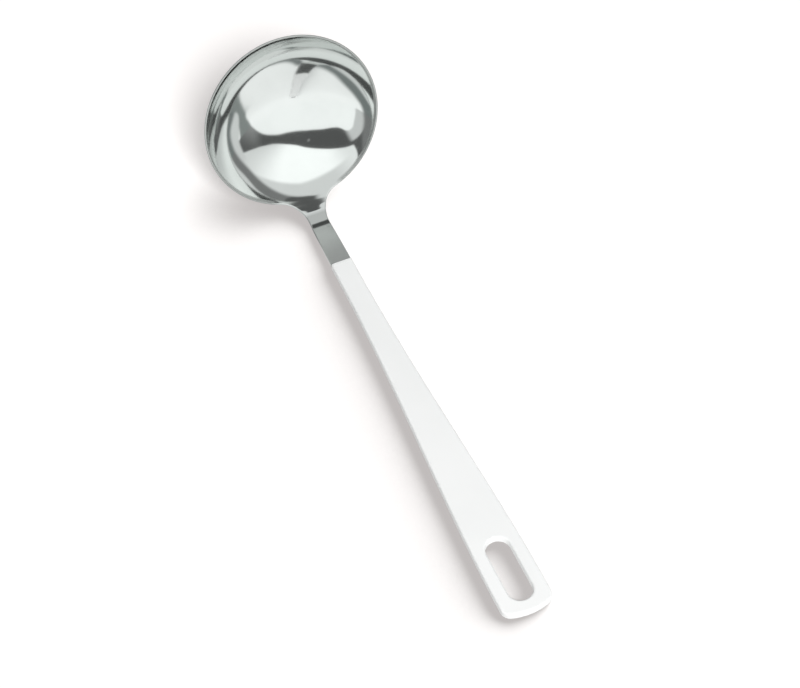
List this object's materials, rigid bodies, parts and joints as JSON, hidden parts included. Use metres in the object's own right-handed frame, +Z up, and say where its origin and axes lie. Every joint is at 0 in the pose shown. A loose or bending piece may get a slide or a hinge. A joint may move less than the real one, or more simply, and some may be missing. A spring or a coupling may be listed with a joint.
{
  "type": "ladle",
  "caption": "Soup ladle with a deep round polished steel bowl, a bent flat neck and a flat white plastic handle that widens towards a long hanging slot at its end.",
  "frame": {"origin": "on the table below the middle of the ladle's length, with the handle lying flat on the table", "axes": "+X along the handle from the bowl to the end with the slot, +Z up from the table, the bowl's mouth facing +X and a little up, and the XZ plane halves the ladle"},
  "size_m": [0.2968, 0.09, 0.0895],
  "materials": {
    "polished_steel": "mirror-polished stainless steel",
    "white_plastic": "smooth satin gloss"
  },
  "bodies": {
    "root": {"steel_bowl_and_neck": "polished_steel", "handle_sleeve": "white_plastic"}
  },
  "joints": []
}
